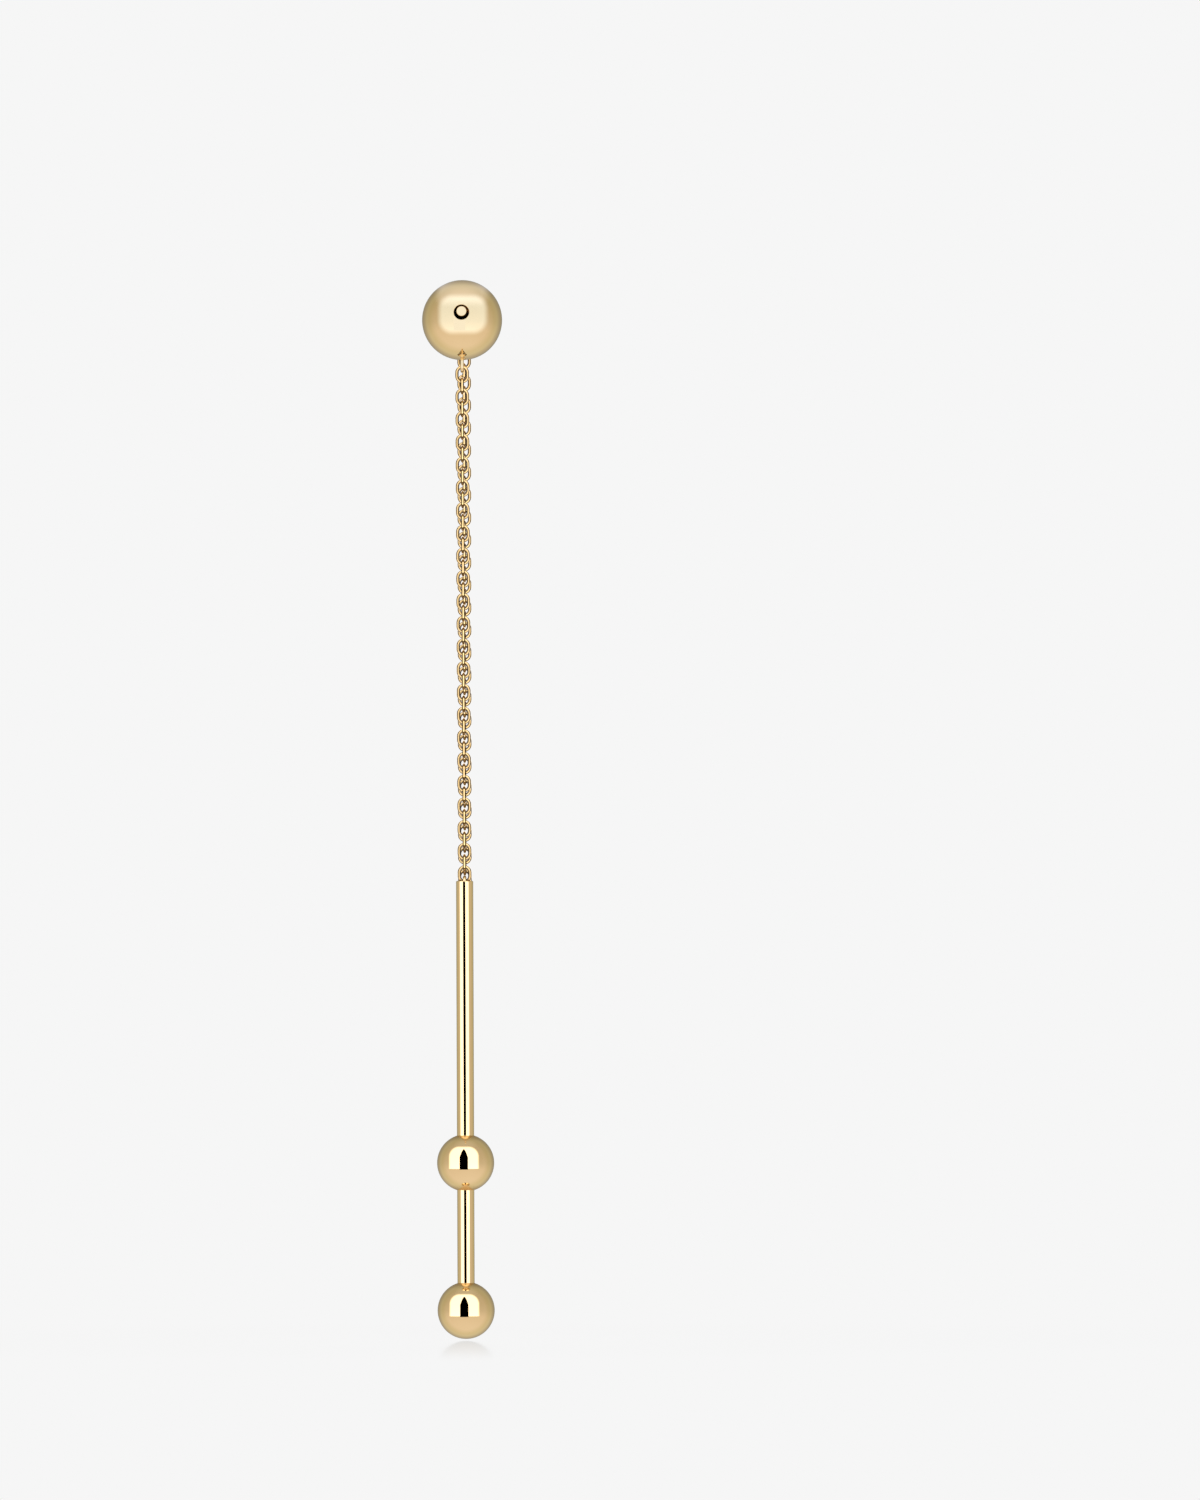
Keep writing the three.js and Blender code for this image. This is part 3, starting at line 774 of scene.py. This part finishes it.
softbox("chain_softbox", CHAIN_PIECES, CHAINS, (-0.36, 0.36, -0.44, 0.54), low_cut=-1,
        corner=0.2, softness=0.1, colour=(0.93, 0.94, 1.0), brightness=2.4)
softbox("rear_softbox", CHAIN_PIECES, CHAINS, (-0.28, 0.28, -0.2, 0.34), low_cut=-1,
        corner=0.12, softness=0.08, colour=(0.93, 0.94, 1.0), brightness=1.6, turn=180)

table_light = bpy.data.lights.new("table_light", "AREA")
table_light.shape = "RECTANGLE"
table_light.size, table_light.size_y = TABLE_LIGHT_WIDTH, TABLE_LIGHT_HEIGHT
table_light.energy = math.pi * TABLE_LIGHT_WIDTH * TABLE_LIGHT_HEIGHT * TABLE_LIGHT_GLOW
table_box = bpy.data.objects.new("table_light", table_light)
bpy.context.collection.objects.link(table_box)
table_box.location = (0.0, TABLE_LIGHT_BEHIND, FLOOR_HEIGHT * MM + TABLE_LIGHT_HEIGHT / 2)
table_box.rotation_euler = (-math.pi / 2, 0.0, 0.0)
table_box.visible_camera = False
table_receiver = bpy.data.collections.new("lit_by_table_light")
table_receiver.objects.link(room)
table_box.light_linking.receiver_collection = table_receiver

# %% [markdown]
# ## The dark pointed card
# A dark card with a pointed top stands before the tube's softbox. It draws the black line down the
# tube and the pointed slot on the lower balls. The front ball, the post and the chains have no slot,
# so for them the card glows about as brightly as a softbox.

# %% Pointed card
CARD_LEFT, CARD_RIGHT, CARD_LOW, CARD_SHOULDER, CARD_TIP = -0.205, 0.09, -0.225, 0.2, 0.49
CARD_DISTANCE = 900.0
CARD_COLUMNS, CARD_ROWS = 24, 12
CARD_GLOW_COLOUR, CARD_GLOW = (0.78, 0.86, 1.0, 1.0), 1.385
card_corners, card_faces = [], []
for i in range(CARD_COLUMNS + 1):
    aside = 2 * i / CARD_COLUMNS - 1
    across = (CARD_LEFT + CARD_RIGHT) / 2 + (CARD_RIGHT - CARD_LEFT) / 2 * aside
    top = CARD_SHOULDER + (CARD_TIP - CARD_SHOULDER) * (1 - abs(aside) ** 1.6)
    for j in range(CARD_ROWS + 1):
        up = CARD_LOW + (top - CARD_LOW) * j / CARD_ROWS
        card_corners.append(LOWER_BALLS + mirrored(across, up) * CARD_DISTANCE)
        if i and j:
            here = (CARD_ROWS + 1) * i + j
            before = here - CARD_ROWS - 1
            card_faces.append((before - 1, here - 1, here, before))
card_mesh = bpy.data.meshes.new("pointed_card")
card_mesh.from_pydata([corner * MM for corner in card_corners], [], card_faces)
card = bpy.data.objects.new("pointed_card", card_mesh)
bpy.context.collection.objects.link(card)
card_paint = bpy.data.materials.new("card_that_lights_some_pieces")
card_paint.use_nodes = True
card_paint.node_tree.nodes.clear()
shine = add_node(card_paint.node_tree, "ShaderNodeEmission",
                 inputs={"Color": CARD_GLOW_COLOUR, "Strength": CARD_GLOW})
add_node(card_paint.node_tree, "ShaderNodeOutputMaterial", links={"Surface": shine.outputs[0]})
card_mesh.materials.append(card_paint)
card.visible_camera = False
card_receivers = bpy.data.collections.new("lit_by_card")
for piece in FRONT_PIECES + CHAIN_PIECES:
    card_receivers.objects.link(piece)
card.light_linking.receiver_collection = card_receivers
print("the card measures", [round(v, 2) for v in card.dimensions], "m")

# %% [markdown]
# ## Colours as seen
# The standard view shows each colour as it was picked, so the white of the floor stays that white.

# %% View
scene = bpy.context.scene
scene.view_settings.view_transform = "Standard"
scene.view_settings.look = "None"
print("view:", scene.view_settings.view_transform)
